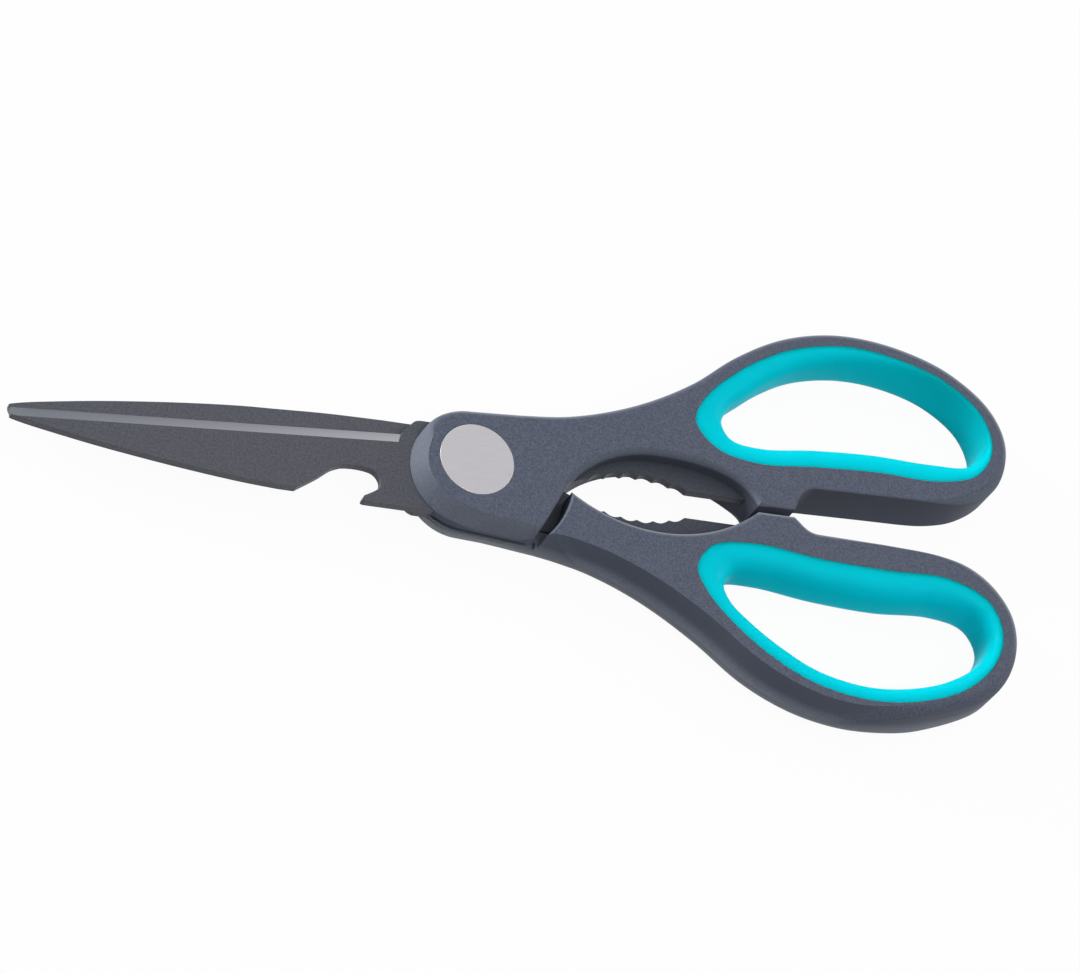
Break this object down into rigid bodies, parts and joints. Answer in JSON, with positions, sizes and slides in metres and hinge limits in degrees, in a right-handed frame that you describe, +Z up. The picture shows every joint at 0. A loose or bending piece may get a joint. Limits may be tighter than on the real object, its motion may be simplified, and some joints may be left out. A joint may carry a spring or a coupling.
{
  "type": "kitchen scissors",
  "caption": "Closed kitchen scissors with dark coated blades, a bottle-opener notch, a toothed nut jaw and soft-lined finger loops on a riveted pivot.",
  "frame": {"origin": "on the pivot axis, in the back face of the rear pivot cap, where the closed scissors lie on a table", "axes": "+X from the pivot towards the finger loops (the blade tips point to -X), +Y across the width towards the upper loop, +Z up through the thickness, along the pivot"},
  "size_m": [0.2187, 0.0886, 0.012],
  "materials": {
    "coated_steel": "dark grey satin coating over ground steel",
    "handle_plastic": "slate grey moulded plastic, fine matt grain",
    "grip_rubber": "smooth soft moulded liner, turquoise",
    "satin_steel": "satin turned steel"
  },
  "bodies": {
    "rear_half": {"rear_blade": "coated_steel", "rear_handle": "handle_plastic", "rear_grip": "grip_rubber", "rear_cap": "satin_steel"},
    "front_half": {"front_blade": "coated_steel", "front_handle": "handle_plastic", "front_grip": "grip_rubber", "front_cap": "satin_steel", "pivot_rivet": "satin_steel", "spring_washer": "satin_steel", "pivot_collar": "satin_steel"}
  },
  "joints": [
    {"name": "pivot", "type": "hinge", "parent": "rear_half", "child": "front_half", "pos_m": [0, 0, 0.006], "axis": [0, 0, 1], "range_deg": [0, 100]}
  ]
}
